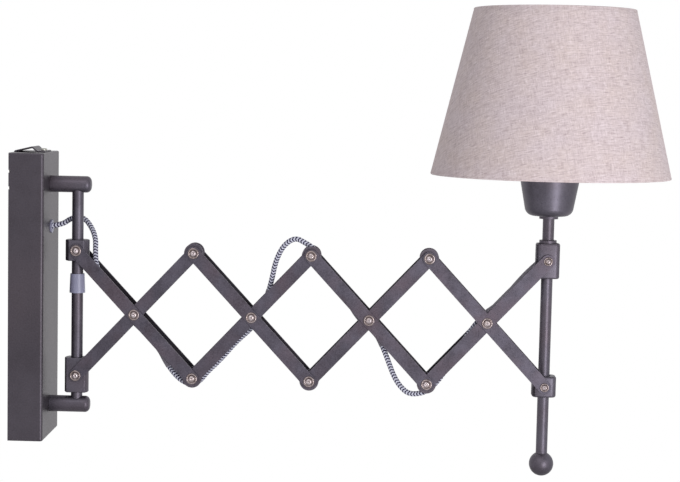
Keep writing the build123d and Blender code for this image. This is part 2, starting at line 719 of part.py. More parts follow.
clamp_bottom_z = FITTER_Z + FITTER_SHEET
with BuildPart() as shade_clamp_ring:
    with BuildSketch(level(clamp_bottom_z, post_x)):
        Circle(CLAMP_RING_R)
        Circle(HOLDER_R + SLIDING, mode=Mode.SUBTRACT)
    extrude(amount=CLAMP_RING_HEIGHT)
save(shade_clamp_ring, "shade_clamp_ring")

# ================================================================ shade
shade_slope = (SHADE_LOW_R - SHADE_TOP_R) / (SHADE_TOP_Z - SHADE_LOW_Z)


def wire_ring_r(height_z):
    """Radius of a wire ring that lies inside the shade's cover at this height."""
    cover_inner_r = SHADE_LOW_R - SHADE_SHEET - shade_slope * (height_z - SHADE_LOW_Z)
    return cover_inner_r - WIRE_R / cos(shade_slope) - RUNNING


low_ring_z = SHADE_LOW_Z + WIRE_R
top_ring_z = SHADE_TOP_Z - WIRE_R
arm_start_r = CLAMP_RING_R + RUNNING
arm_level_z = clamp_bottom_z + WIRE_R / 2

with BuildPart() as shade_frame:
    with Locations((post_x, 0, low_ring_z)):
        Torus(wire_ring_r(low_ring_z), WIRE_R)
    with BuildSketch(level(FITTER_Z, post_x)):
        Circle(FITTER_R)
        Circle(HOLDER_R + SLIDING, mode=Mode.SUBTRACT)
    extrude(amount=FITTER_SHEET)
    for arm in range(FRAME_ARMS):
        turn = radians(90 + 360 / FRAME_ARMS * arm)
        arm_plane = Plane(
            origin=(post_x, 0, 0), x_dir=(cos(turn), sin(turn), 0), z_dir=(sin(turn), -cos(turn), 0)
        )
        with BuildLine(arm_plane) as arm_line:
            FilletPolyline(
                (arm_start_r, arm_level_z),
                (ARM_KNEE_R, arm_level_z),
                (wire_ring_r(low_ring_z), low_ring_z),
                radius=ARM_KNEE_ROUND,
            )
        with BuildSketch(Plane(origin=arm_line.line @ 0, z_dir=arm_line.line % 0)):
            Circle(WIRE_R)
        sweep(path=arm_line.line)
save(shade_frame, "shade_frame")

with BuildPart() as shade_top_ring:
    with Locations((post_x, 0, top_ring_z)):
        Torus(wire_ring_r(top_ring_z), WIRE_R)
save(shade_top_ring, "shade_top_ring")

with BuildPart() as shade_cover:
    with BuildSketch(post_profile):
        with BuildLine():
            Polyline(
                (SHADE_LOW_R, SHADE_LOW_Z),
                (SHADE_TOP_R, SHADE_TOP_Z),
                (SHADE_TOP_R - SHADE_SHEET, SHADE_TOP_Z),
                (SHADE_LOW_R - SHADE_SHEET, SHADE_LOW_Z),
                close=True,
            )
        make_face()
    revolve(axis=post_axis)
save(shade_cover, "shade_cover")


# ================================================================ cable
def bend_radius(before, corner, after):
    """Radius of the bend at a corner, from the shorter of its two runs and its turn."""
    run_in = Vector(*corner) - Vector(*before)
    run_out = Vector(*after) - Vector(*corner)
    turn = acos(run_in.normalized().dot(run_out.normalized()))
    return CABLE_REACH * min(run_in.length, run_out.length) / tan(turn / 2)


def cable(points, radii):
    """A tube of straight runs joined by round bends."""
    with BuildPart() as tube:
        with BuildLine() as route:
            FilletPolyline(*points, radius=radii)
        with BuildSketch(Plane(origin=route.line @ 0, z_dir=route.line % 0)):
            Circle(CABLE_R)
        sweep(path=route.line)
    return tube


def middle(one, other):
    """The point halfway between two points."""
    return tuple((Vector(*one) + Vector(*other)) / 2)


corner_lists = list(CABLE_CORNERS.values())
piece_starts = [
    CABLE_START,
    *[middle(before[-1], after[0]) for before, after in zip(corner_lists, corner_lists[1:])],
]
piece_ends = [*piece_starts[1:], CABLE_END]
route = [CABLE_START, *[corner for corners in corner_lists for corner in corners], CABLE_END]
for (name, corners), start, end in zip(CABLE_CORNERS.items(), piece_starts, piece_ends):
    radii = []
    for corner in corners:
        at = route.index(corner)
        radii.append(bend_radius(route[at - 1], corner, route[at + 1]))
    save(cable([start, *corners, end], radii), name)
    print(name, "bend radii", [round(radius, 1) for radius in radii])

with BuildPart() as cable_in_post:
    with BuildSketch(level(CABLE_END[2], post_x)):
        Circle(CABLE_R)
    extrude(amount=HOLDER_CABLE_TOP_Z - CABLE_END[2])
save(cable_in_post, "cable_in_post")
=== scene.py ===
"""Accordion wall lamp: the looks of every surface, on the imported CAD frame.

Lengths are in metres. X points away from the wall along the arm, Z points up, and the side with
the domed screw heads looks towards -Y.
"""

import json
from collections import namedtuple
from math import atan2, cos, pi, radians, sin

import bmesh
import bpy
from mathutils import Matrix, Vector

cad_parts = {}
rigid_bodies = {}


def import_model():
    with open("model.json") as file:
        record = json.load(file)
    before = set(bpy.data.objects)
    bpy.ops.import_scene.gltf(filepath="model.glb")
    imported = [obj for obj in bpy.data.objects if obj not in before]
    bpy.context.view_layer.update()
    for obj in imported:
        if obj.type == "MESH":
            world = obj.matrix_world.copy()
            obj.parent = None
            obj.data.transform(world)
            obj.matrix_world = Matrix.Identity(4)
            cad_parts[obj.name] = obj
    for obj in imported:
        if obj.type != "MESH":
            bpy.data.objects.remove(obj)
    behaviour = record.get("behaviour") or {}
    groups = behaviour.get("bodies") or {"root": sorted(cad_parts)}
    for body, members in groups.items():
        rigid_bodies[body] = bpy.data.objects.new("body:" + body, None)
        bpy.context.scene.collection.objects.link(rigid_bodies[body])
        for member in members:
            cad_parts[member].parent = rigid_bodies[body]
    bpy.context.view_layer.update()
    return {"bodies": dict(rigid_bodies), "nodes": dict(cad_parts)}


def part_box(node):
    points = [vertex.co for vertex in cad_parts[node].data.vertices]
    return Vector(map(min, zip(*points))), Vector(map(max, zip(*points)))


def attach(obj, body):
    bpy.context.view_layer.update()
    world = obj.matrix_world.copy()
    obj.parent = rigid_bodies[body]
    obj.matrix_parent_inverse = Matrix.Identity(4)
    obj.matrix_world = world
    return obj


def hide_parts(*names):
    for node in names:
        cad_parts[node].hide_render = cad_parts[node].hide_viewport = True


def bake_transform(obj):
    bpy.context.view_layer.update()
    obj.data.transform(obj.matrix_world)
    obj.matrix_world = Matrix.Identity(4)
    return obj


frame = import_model()
nodes = frame["nodes"]

# ---------------------------------------------------------------- places, as in the part's source
FRONT, REAR = -1, 1  # the arm's two sides, on Y
ROD_X = 0.064
POST_X = 0.55504
LOWER_PIVOT_Z = -0.0845
LINK_LENGTH = 0.180
LINK_ANGLE = radians(47)
CELLS = 4

cell = LINK_LENGTH * cos(LINK_ANGLE)
pivot_x = [ROD_X + k * cell for k in range(CELLS + 1)]
upper_z = LOWER_PIVOT_Z + LINK_LENGTH * sin(LINK_ANGLE)
middle_z = (LOWER_PIVOT_Z + upper_z) / 2


# ---------------------------------------------------------------- objects
def place_object(name, data):
    """A new object in the scene that holds the data."""
    placed = bpy.data.objects.new(name, data)
    bpy.context.scene.collection.objects.link(placed)
    return placed


def mesh_object(name, bm, materials):
    """The bmesh as an object in the scene, with its materials."""
    mesh = bpy.data.meshes.new(name)
    bm.to_mesh(mesh)
    bm.free()
    for material in materials:
        mesh.materials.append(material)
    return place_object(name, mesh)


def merge(bm):
    bmesh.ops.remove_doubles(bm, verts=bm.verts, dist=1e-7)


def new_piece(name, bm, materials, body=None, smooth=True):
    """A piece of the lamp from the bmesh, merged and facing outwards, which rides on its body."""
    merge(bm)
    bmesh.ops.recalc_face_normals(bm, faces=bm.faces)
    for face in bm.faces:
        face.smooth = smooth
    piece = mesh_object(name, bm, materials)
    if body:
        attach(piece, body)
    return piece


def close_holes(bm):
    bmesh.ops.holes_fill(bm, edges=[e for e in bm.edges if e.is_boundary], sides=0)


def soften(bm, edges, width, segments):
    """Round the edges over, width to each side of them."""
    bmesh.ops.bevel(
        bm, geom=edges, offset=width, segments=segments, affect="EDGES", profile=0.5, material=-1
    )


def add_block(bm, centre, size):
    place = Matrix.Translation(centre) @ Matrix.Diagonal((*size, 1))
    bmesh.ops.create_cube(bm, size=1, matrix=place)


def turn(bm, profile, place, steps, angle=2 * pi, closed=True):
    """Spin the profile's (radius, height) points round the Z axis of place."""
    points = [bm.verts.new(place @ Vector((radius, 0, height))) for radius, height in profile]
    pairs = list(zip(points, points[1:]))
    if closed:
        pairs.append((points[-1], points[0]))
    edges = [bm.edges.new(pair) for pair in pairs]
    bmesh.ops.spin(
        bm,
        geom=points + edges,
        cent=place.translation,
        axis=place.to_3x3() @ Vector((0, 0, 1)),
        angle=angle,
        steps=steps,
        use_merge=angle == 2 * pi,
    )


# ---------------------------------------------------------------- camera
CAMERA_PLACE = (0.3844, -1.7660, 0.2167)
CAMERA_YAW = radians(-1.48)
CAMERA_PITCH = radians(4.98)
CAMERA_ROLL = radians(1.19)
CAMERA_LENS = 90.0
CAMERA_SENSOR = 36.0
NEAREST, FARTHEST = 0.05, 60.0

camera = place_object("camera", bpy.data.cameras.new("camera"))
bpy.context.scene.camera = camera
camera.data.lens = CAMERA_LENS
camera.data.sensor_width = CAMERA_SENSOR
camera.data.clip_start = NEAREST
camera.data.clip_end = FARTHEST
camera.matrix_world = (
    Matrix.Translation(CAMERA_PLACE)
    @ Matrix.Rotation(-CAMERA_YAW, 4, "Z")
    @ Matrix.Rotation(radians(90) - CAMERA_PITCH, 4, "X")
    @ Matrix.Rotation(CAMERA_ROLL, 4, "Z")
)


# ---------------------------------------------------------------- shader nodes
def fill(tree, node, inputs):
    """Give the node its inputs, by name or number: a value, or the socket that feeds it."""
    for name, value in inputs.items():
        if isinstance(value, bpy.types.NodeSocket):
            tree.links.new(value, node.inputs[name])
        else:
            node.inputs[name].default_value = value
    return node


def add(tree, kind, inputs=None, **settings):
    """A new shader node with its settings and inputs."""
    made = tree.nodes.new(kind)
    for name, value in settings.items():
        setattr(made, name, value)
    return fill(tree, made, inputs or {})


def calc(tree, operation, a, b=0.5, clamp=False):
    """The result of one step of arithmetic on values or sockets."""
    made = add(tree, "ShaderNodeMath", {0: a, 1: b}, operation=operation, use_clamp=clamp)
    return made.outputs[0]


def mix(tree, share, a, b):
    """Colour a turning into colour b as share goes from 0 to 1."""
    return add(tree, "ShaderNodeMix", {0: share, 6: a, 7: b}, data_type="RGBA").outputs[2]


def spread(tree, value, low, high, to_low=0.0, to_high=1.0):
    """The value's range from low to high laid over the range from to_low to to_high."""
    inputs = {0: value, 1: low, 2: high, 3: to_low, 4: to_high}
    return add(tree, "ShaderNodeMapRange", inputs).outputs[0]


def noise(tree, vector, scale, detail=2.0, roughness=0.5):
    inputs = {"Vector": vector, "Scale": scale, "Detail": detail, "Roughness": roughness}
    return add(tree, "ShaderNodeTexNoise", inputs).outputs[0]


def stretched(tree, vector, scale):
    """The coordinates times a scale for each axis, which draws a pattern on them out."""
    return add(tree, "ShaderNodeMapping", {"Vector": vector, "Scale": scale}).outputs[0]


def bump(tree, height, strength, distance, normal=None):
    """Normals from a height, where 1 stands for the distance in metres."""
    inputs = {"Height": height, "Strength": strength, "Distance": distance}
    if normal is not None:
        inputs["Normal"] = normal
    return add(tree, "ShaderNodeBump", inputs).outputs[0]


def object_place(tree):
    return tree.nodes.new("ShaderNodeTexCoord").outputs["Object"]


def uv_place(tree, name):
    """The UV map, and its two parts."""
    uv = add(tree, "ShaderNodeUVMap", uv_map=name).outputs[0]
    first, second, _ = add(tree, "ShaderNodeSeparateXYZ", {0: uv}).outputs
    return uv, first, second


def new_group(name, inputs, outputs):
    """An empty node group with named sockets, what it is given, and the node that puts out."""
    group = bpy.data.node_groups.new(name, "ShaderNodeTree")
    for socket, kind, value in inputs:
        made = group.interface.new_socket(socket, in_out="INPUT", socket_type=kind)
        if value is not None:
            made.default_value = value
    for socket, kind in outputs:
        group.interface.new_socket(socket, in_out="OUTPUT", socket_type=kind)
    given = group.nodes.new("NodeGroupInput").outputs
    return group, given, group.nodes.new("NodeGroupOutput")


def place_group(tree, group, inputs):
    return add(tree, "ShaderNodeGroup", inputs, node_tree=group).outputs


def new_material(name):
    material = bpy.data.materials.new(name)
    material.use_nodes = True
    tree = material.node_tree
    return material, tree, tree.nodes["Principled BSDF"]


def linear(red, green, blue):
    """A colour as a screen shows it, from 0 to 255, made linear for the shader."""
    return tuple(
        (c / 255 / 12.92) if c <= 10 else ((c / 255 + 0.055) / 1.055) ** 2.4
        for c in (red, green, blue)
    ) + (1.0,)


# ---------------------------------------------------------------- effects that materials share
VECTOR, FLOAT = "NodeSocketVector", "NodeSocketFloat"


def make_mottling():
    """Cloudy patches, fine grain and tiny pits, for metal that was coloured by hand."""
    group, given, out = new_group(
        "mottling",
        [("Vector", VECTOR, None), ("Patch Size", FLOAT, 0.02), ("Grain Size", FLOAT, 0.0015)],
        [("Patches", FLOAT), ("Grain", FLOAT), ("Pits", FLOAT), ("Height", FLOAT)],
    )
    patch_scale = calc(group, "DIVIDE", 1.0, given["Patch Size"])
    grain_scale = calc(group, "DIVIDE", 1.0, given["Grain Size"])
    pit_scale = calc(group, "MULTIPLY", grain_scale, 0.35)
    patches = noise(group, given["Vector"], patch_scale, detail=5.0, roughness=0.62)
    grain = noise(group, given["Vector"], grain_scale, detail=3.0, roughness=0.6)
    cells = add(group, "ShaderNodeTexVoronoi", {"Vector": given["Vector"], "Scale": pit_scale})
    pits = spread(group, cells.outputs["Distance"], 0.10, 0.28, 1.0, 0.0)
    raised = calc(group, "MULTIPLY", grain, 0.6)
    sunk = calc(group, "MULTIPLY", pits, 0.35)
    fill(group, out, {
        "Patches": spread(group, patches, 0.34, 0.66),
        "Grain": spread(group, grain, 0.3, 0.7),
        "Pits": pits,
        "Height": calc(group, "SUBTRACT", raised, sunk),
    })
    return group


def make_edge_wear():
    """A mask that is 1 on a piece's edges, broken up by its grain, and normals that round them."""
    group, given, out = new_group(
        "edge wear",
        [("Width", FLOAT, 0.0006), ("Breakup", FLOAT, 0.5)],
        [("Mask", FLOAT), ("Rounded", VECTOR)],
    )
    rounded = add(group, "ShaderNodeBevel", {"Radius": given["Width"]}, samples=4).outputs[0]
    flat = group.nodes.new("ShaderNodeNewGeometry").outputs["Normal"]
    dot = add(group, "ShaderNodeVectorMath", {0: rounded, 1: flat}, operation="DOT_PRODUCT")
    edge = spread(group, dot.outputs["Value"], 0.995, 0.86)
    broken = spread(group, given["Breakup"], 0.25, 0.7)
    mask = calc(group, "MULTIPLY", edge, broken, clamp=True)
    fill(group, out, {"Mask": mask, "Rounded": rounded})
    return group


mottling = make_mottling()
edge_wear = make_edge_wear()

# ---------------------------------------------------------------- metal
TINT_SCALE = 0.6  # size of the patches against those of the tint
TINT_SHARE = 0.6  # how much the tint shows at most
GRAIN_SHARE = 0.2
PIT_SHARE = 0.35
EDGE_POLISH = 0.1  # how much smoother the worn edges are


def metal(
    name, dark, light, worn, tint=None, patch=0.03, grain=0.0014, metallic=0.8,
    roughness=(0.4, 0.52), wear=0.6, wear_width=0.0007, relief=0.00012,
):
    """Coloured metal: dark to light patches, fine grain, small pits, and paler worn edges.

    The tint shows in patches of its own. patch, grain, wear_width and relief are sizes in metres.
    """
    material, tree, shader = new_material(name)
    place = object_place(tree)
    surface = place_group(
        tree, mottling, {"Vector": place, "Patch Size": patch, "Grain Size": grain}
    )
    edge = place_group(tree, edge_wear, {"Width": wear_width, "Breakup": surface["Grain"]})
    colour = mix(tree, surface["Patches"], dark, light)
    if tint:
        hue = noise(tree, place, TINT_SCALE / patch, detail=3.0)
        colour = mix(tree, spread(tree, hue, 0.42, 0.68, 0.0, TINT_SHARE), colour, tint)
    colour = mix(tree, calc(tree, "MULTIPLY", surface["Grain"], GRAIN_SHARE), colour, worn)
    colour = mix(tree, calc(tree, "MULTIPLY", surface["Pits"], PIT_SHARE), colour, dark)
    colour = mix(tree, calc(tree, "MULTIPLY", edge["Mask"], wear), colour, worn)
    rough = spread(tree, surface["Grain"], 0.0, 1.0, *roughness)
    polish = calc(tree, "MULTIPLY", edge["Mask"], EDGE_POLISH)
    fill(tree, shader, {
        "Base Color": colour,
        "Roughness": calc(tree, "SUBTRACT", rough, polish),
        "Metallic": metallic,
        "Normal": bump(tree, surface["Height"], 0.5, relief, normal=edge["Rounded"]),
    })
    return material


def paint_shade_on_side(material, side, tone):
    """The material with painted shade: a darker tone on faces that look to side, +1 or -1 on Y."""
    material = material.copy()
    tree = material.node_tree
    shader = tree.nodes["Principled BSDF"]
    normal = tree.nodes.new("ShaderNodeTexCoord").outputs["Normal"]
    towards_rear = add(tree, "ShaderNodeSeparateXYZ", {0: normal}).outputs[1]
    towards = calc(tree, "MULTIPLY", towards_rear, float(side))
    colour = shader.inputs["Base Color"].links[0].from_socket
    # painted shade: the faces in the gap between front and rear bars turn most of the way to the
    # dark tone
    painted_shade = mix(tree, 0.75, colour, tone)
    fill(tree, shader, {"Base Color": mix(tree, spread(tree, towards, 0.6, 0.9), colour, painted_shade)})
    return material


aged_metal = metal(
    "aged metal",
    linear(68, 64, 73), linear(87, 83, 94), linear(128, 122, 134), tint=linear(84, 73, 80),
    wear=0.5,
)
link_metal = metal(
    "aged link metal",
    linear(56, 52, 61), linear(80, 76, 88), linear(128, 122, 134), tint=linear(82, 68, 76),
    patch=0.02, wear=0.7,
)
# Painted shade: the bars' inner faces, which face each other across the gap between front and rear
# bars.
PAINTED_SHADE_TONE = linear(30, 27, 33)  # of the bars' inner faces
link_front = paint_shade_on_side(link_metal, REAR, PAINTED_SHADE_TONE)
link_rear = paint_shade_on_side(link_metal, FRONT, PAINTED_SHADE_TONE)
box_metal = metal(
    "aged box metal",
    linear(62, 57, 64), linear(73, 68, 76), linear(104, 98, 107), tint=linear(72, 64, 70),
    patch=0.06, roughness=(0.36, 0.46), wear=0.4,
)
# Painted shade: darker and browner than the box metal, for the shade in the box's side notches
# where it shows.
notch_shade_metal = metal(
    "shaded raw metal",
    linear(52, 42, 40), linear(70, 58, 56), linear(92, 80, 78),
    patch=0.02, wear=0.3,
)
zinc = metal(
    "zinc plate",
    linear(150, 150, 146), linear(186, 184, 176), linear(214, 212, 206),
    patch=0.008, grain=0.0008, metallic=0.95, roughness=(0.28, 0.42), relief=0.00005,
)
bright_wire = metal(
    "drawn wire",
    linear(168, 168, 166), linear(196, 196, 194), linear(220, 220, 218),
    patch=0.01, grain=0.0006, metallic=1.0, roughness=(0.22, 0.34), relief=0.00003,
)
worn_nickel = metal(
    "worn nickel",
    linear(104, 93, 92), linear(150, 138, 140), linear(206, 196, 196), tint=linear(122, 106, 100),
    patch=0.004, grain=0.0006, metallic=0.9, roughness=(0.22, 0.36), wear=0.7,
    wear_width=0.0003, relief=0.00004,
)
dome_nickel = metal(
    "rubbed nickel",
    linear(150, 138, 142), linear(190, 180, 184), linear(222, 214, 216), tint=linear(158, 140, 132),
    patch=0.003, grain=0.0006, metallic=0.9, roughness=(0.22, 0.34), wear=0.7,
    wear_width=0.0003, relief=0.00004,
)
contact_brass = metal(
    "contact brass",
    linear(176, 146, 82), linear(206, 178, 108), linear(232, 210, 150),
    patch=0.006, grain=0.0006, metallic=1.0, roughness=(0.2, 0.34), relief=0.00003,
)

# ---------------------------------------------------------------- plastic, glaze and rubber
FLOW_MARKS = 0.012
SATIN_GRAIN = 0.0007
SATIN_RELIEF = 0.00006


def moulded(name, colour, transmission=0.0, roughness=0.35, coat=0.0, cloudy=0.18):
    """A moulded material: faint flow marks, lighter by the share cloudy, and a fine satin grain."""
    material, tree, shader = new_material(name)
    surface = place_group(
        tree, mottling,
        {"Vector": object_place(tree), "Patch Size": FLOW_MARKS, "Grain Size": SATIN_GRAIN},
    )
    lighter = tuple(min(1.0, (1 + cloudy) * c) for c in colour[:3]) + (1.0,)
    smooth, rough = roughness - 0.06, roughness + 0.08
    fill(tree, shader, {
        "Base Color": mix(tree, surface["Patches"], colour, lighter),
        "Roughness": spread(tree, surface["Grain"], 0.0, 1.0, smooth, rough),
        "Transmission Weight": transmission,
        "Coat Weight": coat,
        "Normal": bump(tree, surface["Height"], 0.25, SATIN_RELIEF),
    })
    return material


ceramic = moulded("glazed ceramic", linear(226, 224, 216), roughness=0.22, coat=0.5)
clear_plastic = moulded(
    "milky plastic", linear(150, 150, 176), transmission=0.25, roughness=0.38
)
black_plastic = moulded("black plastic", linear(34, 34, 36), roughness=0.42)
sleeve_rubber = moulded("shrunk sleeve", linear(104, 99, 110), roughness=0.5)
lining_white = moulded("shade lining", linear(236, 234, 231), roughness=0.6, cloudy=0.03)

# ---------------------------------------------------------------- linen
FLAT_CUT = "flat cut"  # the UV map of the shade's cloth: its flat cut, in metres
THREAD_PITCH = 0.00075
THREAD_RELIEF = 0.0004
LINEN_BASE = linear(206, 192, 196)
LINEN_PALE = linear(236, 224, 229)
LINEN_SHADOW = linear(160, 141, 145)
LINEN_STRAW = linear(208, 191, 184)
# Streaks of the yarns: how often a metre across and along the cut, then detail and roughness.
LINEN_STREAKS = {
    "weft slubs": ((105.0, 950.0, 1.0), 3.0, 0.6),
    "warp slubs": ((950.0, 125.0, 1.0), 3.0, 0.6),
    "weft bands": ((22.0, 330.0, 1.0), 2.0, 0.55),
    "warp bands": ((330.0, 26.0, 1.0), 2.0, 0.55),
    "flecks": ((420.0, 640.0, 1.0), 3.0, 0.7),
}
# How they colour the cloth: from and to which value, how strongly at most, and in which tone.
LINEN_TONES = [
    ("weft bands", 0.5, 0.75, 0.3, LINEN_SHADOW),
    ("warp bands", 0.5, 0.75, 0.24, LINEN_SHADOW),
    ("weft slubs", 0.53, 0.72, 0.9, LINEN_SHADOW),
    ("warp slubs", 0.54, 0.76, 0.6, LINEN_SHADOW),
    ("flecks", 0.55, 0.78, 0.6, LINEN_SHADOW),
    ("weft slubs", 0.46, 0.28, 0.6, LINEN_PALE),
    ("warp slubs", 0.46, 0.28, 0.5, LINEN_PALE),
    ("flecks", 0.44, 0.26, 0.5, LINEN_PALE),
]


def make_linen():
    """Loose plain weave with slubs both ways, on the flat cut."""
    material, tree, shader = new_material("linen weave")
    flat, across, along = uv_place(tree, FLAT_CUT)
    warp = calc(tree, "SINE", calc(tree, "MULTIPLY", across, 2 * pi / THREAD_PITCH))
    weft = calc(tree, "SINE", calc(tree, "MULTIPLY", along, 2 * pi / THREAD_PITCH))
    crossing = calc(tree, "MULTIPLY", warp, weft)
    streaks = {
        name: noise(tree, stretched(tree, flat, often), 1.0, detail, roughness)
        for name, (often, detail, roughness) in LINEN_STREAKS.items()
    }
    clouds = noise(tree, flat, 26.0, detail=3.0, roughness=0.55)
    warm = mix(tree, 0.5, LINEN_BASE, LINEN_STRAW)
    cloth = mix(tree, spread(tree, clouds, 0.35, 0.65), LINEN_BASE, warm)
    for name, low, high, strength, tone in LINEN_TONES:
        cloth = mix(tree, spread(tree, streaks[name], low, high, 0.0, strength), cloth, tone)
    # Painted shade: the gaps between the crossing threads are darkened towards the shadow tone.
    gap_shade = spread(tree, crossing, -1.0, 1.0, 0.16, 0.0)
    slubs = calc(tree, "ADD", streaks["weft slubs"], streaks["warp slubs"])
    height = calc(tree, "ADD", calc(tree, "MULTIPLY", crossing, 0.18), slubs)
    fill(tree, shader, {
        "Base Color": mix(tree, gap_shade, cloth, LINEN_SHADOW),
        "Roughness": 0.92,
        "Specular IOR Level": 0.2,
        "Sheen Weight": 0.12,
        "Normal": bump(tree, height, 0.55, THREAD_RELIEF),
    })
    return material


linen = make_linen()

# ---------------------------------------------------------------- braid
ROUND_AND_ALONG = "round and along"  # UV: the share round the cable, and the metres along it
BRAID_AROUND = 3  # zigzags round the cable
BRAID_PITCH = 0.0031  # one black and one white ring
YARN_RELIEF = 0.00025  # of the single yarns, in the material
WHITE_YARN = linear(226, 227, 240), linear(182, 183, 204)
BLACK_YARN = linear(40, 36, 58), linear(66, 61, 88)
# Painted shade in the grooves between the yarns.
BRAID_GAP_SHADE = linear(24, 22, 34)


def make_braid():
    """Black and white yarns in zigzag rings."""
    material, tree, shader = new_material("braided textile")
    uv, around, along = uv_place(tree, ROUND_AND_ALONG)
    turns = calc(tree, "MULTIPLY", around, 2.0 * BRAID_AROUND)
    zigzag = calc(tree, "PINGPONG", turns, 1.0)
    stripes = calc(tree, "ADD", calc(tree, "MULTIPLY", along, 2 / BRAID_PITCH), zigzag)
    rings = calc(tree, "FRACT", calc(tree, "MULTIPLY", stripes, 0.5))
    white = calc(tree, "GREATER_THAN", rings, 0.5)
    strands = calc(
        tree, "ABSOLUTE", calc(tree, "SINE", calc(tree, "MULTIPLY", stripes, 2 * pi))
    )
    fuzz = noise(tree, stretched(tree, uv, (60.0, 3500.0, 1.0)), 1.0, 2.0)
    pale = mix(tree, spread(tree, fuzz, 0.3, 0.7), *WHITE_YARN)
    dark = mix(tree, spread(tree, fuzz, 0.3, 0.7), *BLACK_YARN)
    # Painted shade: the grooves between the strands are darkened towards the groove tone.
    gap_shade = spread(tree, strands, 0.0, 0.5, 0.2, 0.0)
    height = calc(tree, "ADD", strands, calc(tree, "MULTIPLY", fuzz, 0.4))
    fill(tree, shader, {
        "Base Color": mix(tree, gap_shade, mix(tree, white, dark, pale), BRAID_GAP_SHADE),
        "Roughness": 0.8,
        "Specular IOR Level": 0.25,
        "Normal": bump(tree, height, 0.7, YARN_RELIEF),
    })
    return material


braid = make_braid()

# ---------------------------------------------------------------- cable
CABLE_R = 0.00275
BRAID_RELIEF = 0.00018  # of the rings, in the mesh
YARN_DIP = 0.6  # how much lower the yarns lie where their zigzag turns
BRAID_SIDES = 32
STEPS_PER_BEND = 30
SLEEVE_SHEET = 0.0003
CABLE_START = (0.0240, 0.0000, 0.0715)
CABLE_CORNERS = {
    "wall_loop": [(0.0450, 0.0000, 0.0715), (0.0565, 0.0150, 0.0808)],
    "entry": [
        (0.0680, 0.0185, 0.0794), (0.0763, 0.0150, 0.0695), (0.0816, 0.0085, 0.0585),
        (0.0822, 0.0030, 0.0460), (0.0834, 0.0000, 0.0330), (0.0882, 0.0000, 0.0195),
        (0.0970, 0.0000, 0.0070), (0.1070, 0.0000, -0.0071),
    ],
    "span_1": [
        (0.1206, 0.0000, -0.0245), (0.1380, 0.0000, -0.0405), (0.1512, 0.0000, -0.0550),
        (0.1588, 0.0000, -0.0698), (0.1673, 0.0000, -0.0818), (0.1773, 0.0000, -0.0903),
        (0.1865, 0.0000, -0.0919), (0.1945, 0.0000, -0.0885), (0.2020, 0.0000, -0.0785),
        (0.2155, 0.0000, -0.0655), (0.2325, 0.0000, -0.0450),
    ],
    "span_2": [
        (0.2491, 0.0000, -0.0305), (0.2585, 0.0000, -0.0115), (0.2645, 0.0000, 0.0050),
        (0.2685, 0.0000, 0.0215), (0.2720, 0.0000, 0.0405), (0.2800, 0.0000, 0.0572),
        (0.2920, 0.0000, 0.0653), (0.3024, 0.0000, 0.0602), (0.3120, 0.0000, 0.0544),
        (0.3205, 0.0000, 0.0375), (0.3400, 0.0000, 0.0145),
    ],
    "span_3": [
        (0.3501, 0.0000, -0.0025), (0.3612, 0.0000, -0.0195), (0.3785, 0.0000, -0.0325),
        (0.3860, 0.0000, -0.0475), (0.3920, 0.0000, -0.0625), (0.3980, 0.0000, -0.0780),
        (0.4048, 0.0000, -0.0887), (0.4132, 0.0000, -0.0962), (0.4235, 0.0000, -0.0966),
        (0.4345, 0.0000, -0.0928), (0.4460, 0.0000, -0.0805), (0.4580, 0.0000, -0.0610),
        (0.4689, 0.0000, -0.0420),
    ],
    "to_post": [
        (0.4794, 0.0000, -0.0246), (0.4918, 0.0000, -0.0096), (0.5020, 0.0000, -0.0026),
        (0.5130, 0.0000, 0.0082), (0.5250, 0.0000, 0.0235), (0.5380, 0.0000, 0.0380),
        (POST_X, 0.0000, 0.0530),
    ],
}
CABLE_END = (POST_X, 0.0000, 0.0670)
POST_RUN = [CABLE_END, (POST_X, 0.0, 0.0890), (POST_X, 0.0, 0.1120)]
# Dark sleeves at the middle pivots, the last of them up to the post: after which corner each
# starts and ends.
SLEEVES = ((10.8, 13.8), (21.5, 23.8), (32.8, 35.4), (46.2, 52.0))

# A place on the cable's line, two directions across the line, and the distance from its start.
Station = namedtuple("Station", "point across upward travelled")


def spline_points(route):
    """The points of a quadratic NURBS spline along the route, from its first to its last place."""
    curve = bpy.data.curves.new("route", "CURVE")
    curve.dimensions = "3D"
    spline = curve.splines.new("NURBS")
    spline.points.add(len(route) - 1)
    for point, place in zip(spline.points, route):
        point.co = (*place, 1.0)
    spline.order_u = 3
    spline.use_endpoint_u = True
    spline.resolution_u = STEPS_PER_BEND
    holder = bpy.data.objects.new("route", curve)
    mesh = bpy.data.meshes.new_from_object(holder)
    points = [vertex.co.copy() for vertex in mesh.vertices]
    bpy.data.objects.remove(holder)
    bpy.data.curves.remove(curve)
    bpy.data.meshes.remove(mesh)
    return points


def stations_on(route):
    """The stations along the route, whose directions are carried along it without twist."""
    points = spline_points(route)
    stations = []
    across = Vector((0, 1, 0))
    travelled = 0.0
    for i, point in enumerate(points):
        ahead = (points[min(i + 1, len(points) - 1)] - points[max(i - 1, 0)]).normalized()
        across = (across - ahead * across.dot(ahead)).normalized()
        if i:
            travelled += (point - points[i - 1]).length
        stations.append(Station(point, across, ahead.cross(across), travelled))
    return stations


def yarn_height(around, along):
    """How far the yarns stand out, from 0 between two rings of the braid to 1 on their crowns."""
    zigzag = abs((around * BRAID_AROUND * 2 + 1) % 2 - 1)
    stripe = (2 * along / BRAID_PITCH + zigzag) % 1
    return (sin(pi * stripe)) ** 0.5 * (1 - YARN_DIP * abs(2 * zigzag - 1) ** 6)


